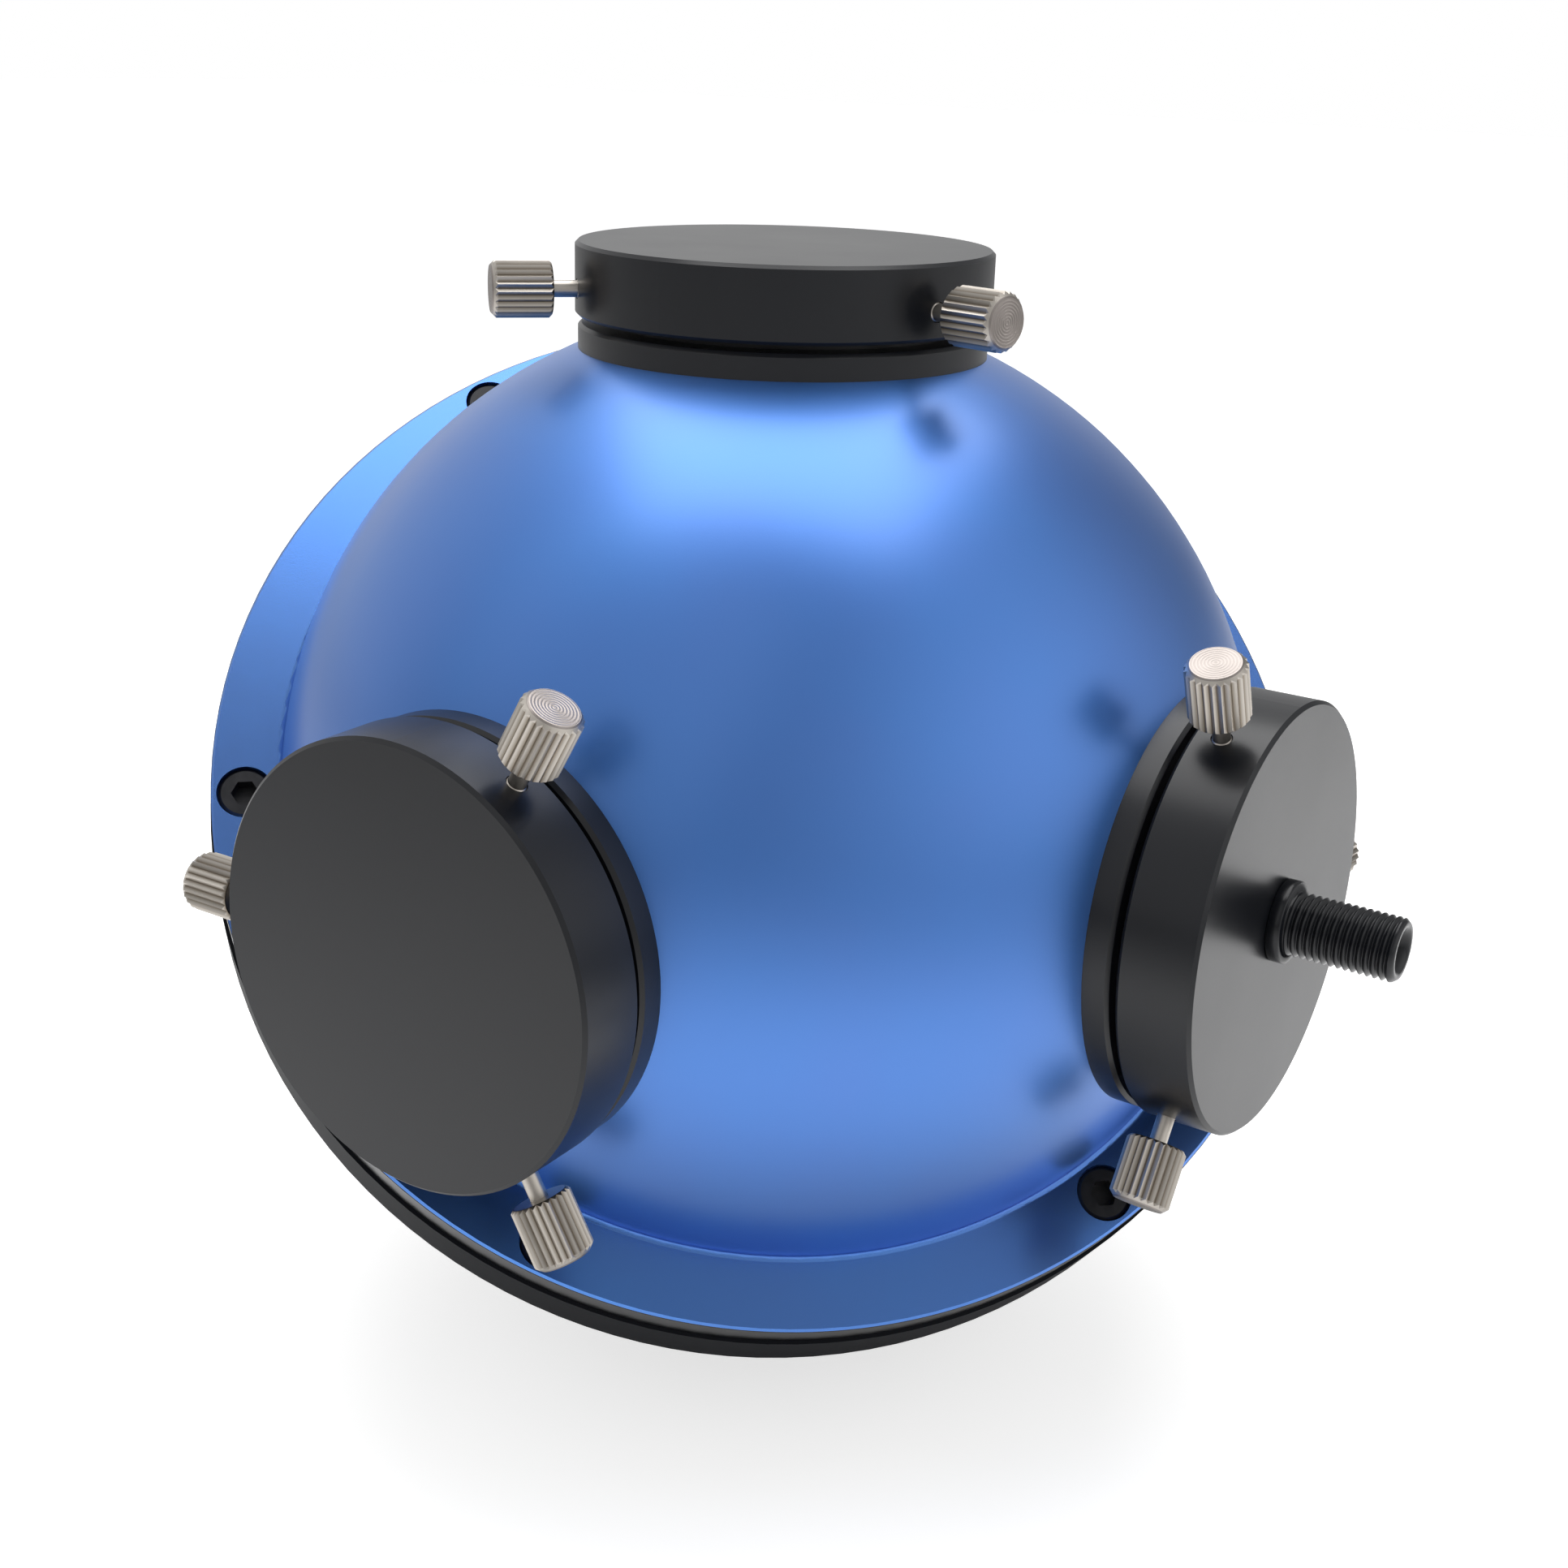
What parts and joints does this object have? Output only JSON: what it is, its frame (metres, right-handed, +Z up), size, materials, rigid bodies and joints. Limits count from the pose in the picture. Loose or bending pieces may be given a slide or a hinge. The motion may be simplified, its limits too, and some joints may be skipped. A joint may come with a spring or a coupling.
{
  "type": "integrating sphere",
  "caption": "Hollow light-mixing sphere of bolted hemispheres, with capped ports at right angles, knurled clamp screws, an inner baffle and a threaded fibre adapter.",
  "frame": {"origin": "centre of the post hole's mouth, under the sphere, with the sphere's centre 58 mm above it", "axes": "+Z up out of the top port, +X out of the port with the fibre adapter, -Y out of the left port"},
  "size_m": [0.1275, 0.1155, 0.1174],
  "materials": {
    "blue_anodised": "satin blue anodised aluminium",
    "black_anodised": "matte black anodised aluminium",
    "black_screws": "blackened steel",
    "nickel": "nickel-plated steel with a straight knurl",
    "steel": "bare steel",
    "white_plastic": "matte white diffusing plastic",
    "white_coating": "matte white diffusing coat"
  },
  "bodies": {
    "sphere": {"front_hemisphere": "blue_anodised", "rear_hemisphere": "black_anodised", "post_mount": "black_anodised", "flange_screws": "black_screws", "dowel_pins": "steel", "baffle_plate": "white_coating", "baffle_stem": "steel", "top_collar": "black_anodised", "top_collar_screws": "black_screws", "left_collar": "black_anodised", "left_collar_screws": "black_screws", "right_collar": "black_anodised", "right_collar_screws": "black_screws"},
    "top_cap_set": {"top_cap": "black_anodised", "top_plug": "white_plastic"},
    "top_thumbscrew_1": {"top_thumbscrew_1": "nickel"},
    "top_thumbscrew_2": {"top_thumbscrew_2": "nickel"},
    "top_thumbscrew_3": {"top_thumbscrew_3": "nickel"},
    "left_cap_set": {"left_cap": "black_anodised", "left_plug": "white_plastic"},
    "left_thumbscrew_1": {"left_thumbscrew_1": "nickel"},
    "left_thumbscrew_2": {"left_thumbscrew_2": "nickel"},
    "left_thumbscrew_3": {"left_thumbscrew_3": "nickel"},
    "right_cap_set": {"right_cap": "black_anodised", "right_plug": "white_plastic", "fibre_adapter": "black_anodised", "adapter_nut": "steel"},
    "right_thumbscrew_1": {"right_thumbscrew_1": "nickel"},
    "right_thumbscrew_2": {"right_thumbscrew_2": "nickel"},
    "right_thumbscrew_3": {"right_thumbscrew_3": "nickel"}
  },
  "joints": [
    {"name": "top_cap_lift", "type": "slide", "parent": "sphere", "child": "top_cap_set", "axis": [0, 0, 1], "range_m": [0, 0.02]},
    {"name": "top_thumbscrew_1_out", "type": "slide", "parent": "top_cap_set", "child": "top_thumbscrew_1", "axis": [-0.682, -0.7314, 0], "range_m": [0, 0.0024]},
    {"name": "top_thumbscrew_2_out", "type": "slide", "parent": "top_cap_set", "child": "top_thumbscrew_2", "axis": [0.9744, -0.225, 0], "range_m": [0, 0.0024]},
    {"name": "top_thumbscrew_3_out", "type": "slide", "parent": "top_cap_set", "child": "top_thumbscrew_3", "axis": [-0.2924, 0.9563, 0], "range_m": [0, 0.0024]},
    {"name": "left_cap_lift", "type": "slide", "parent": "sphere", "child": "left_cap_set", "axis": [0, -1, 0], "range_m": [0, 0.02]},
    {"name": "left_thumbscrew_1_out", "type": "slide", "parent": "left_cap_set", "child": "left_thumbscrew_1", "axis": [0.4848, 0, 0.8746], "range_m": [0, 0.0024]},
    {"name": "left_thumbscrew_2_out", "type": "slide", "parent": "left_cap_set", "child": "left_thumbscrew_2", "axis": [-0.9998, 0, -0.0175], "range_m": [0, 0.0024]},
    {"name": "left_thumbscrew_3_out", "type": "slide", "parent": "left_cap_set", "child": "left_thumbscrew_3", "axis": [0.515, 0, -0.8572], "range_m": [0, 0.0024]},
    {"name": "right_cap_lift", "type": "slide", "parent": "sphere", "child": "right_cap_set", "axis": [1, 0, 0], "range_m": [0, 0.02]},
    {"name": "right_thumbscrew_1_out", "type": "slide", "parent": "right_cap_set", "child": "right_thumbscrew_1", "axis": [0, -0.3907, 0.9205], "range_m": [0, 0.0024]},
    {"name": "right_thumbscrew_2_out", "type": "slide", "parent": "right_cap_set", "child": "right_thumbscrew_2", "axis": [0, -0.6018, -0.7986], "range_m": [0, 0.0024]},
    {"name": "right_thumbscrew_3_out", "type": "slide", "parent": "right_cap_set", "child": "right_thumbscrew_3", "axis": [0, 0.9925, -0.1219], "range_m": [0, 0.0024]}
  ]
}
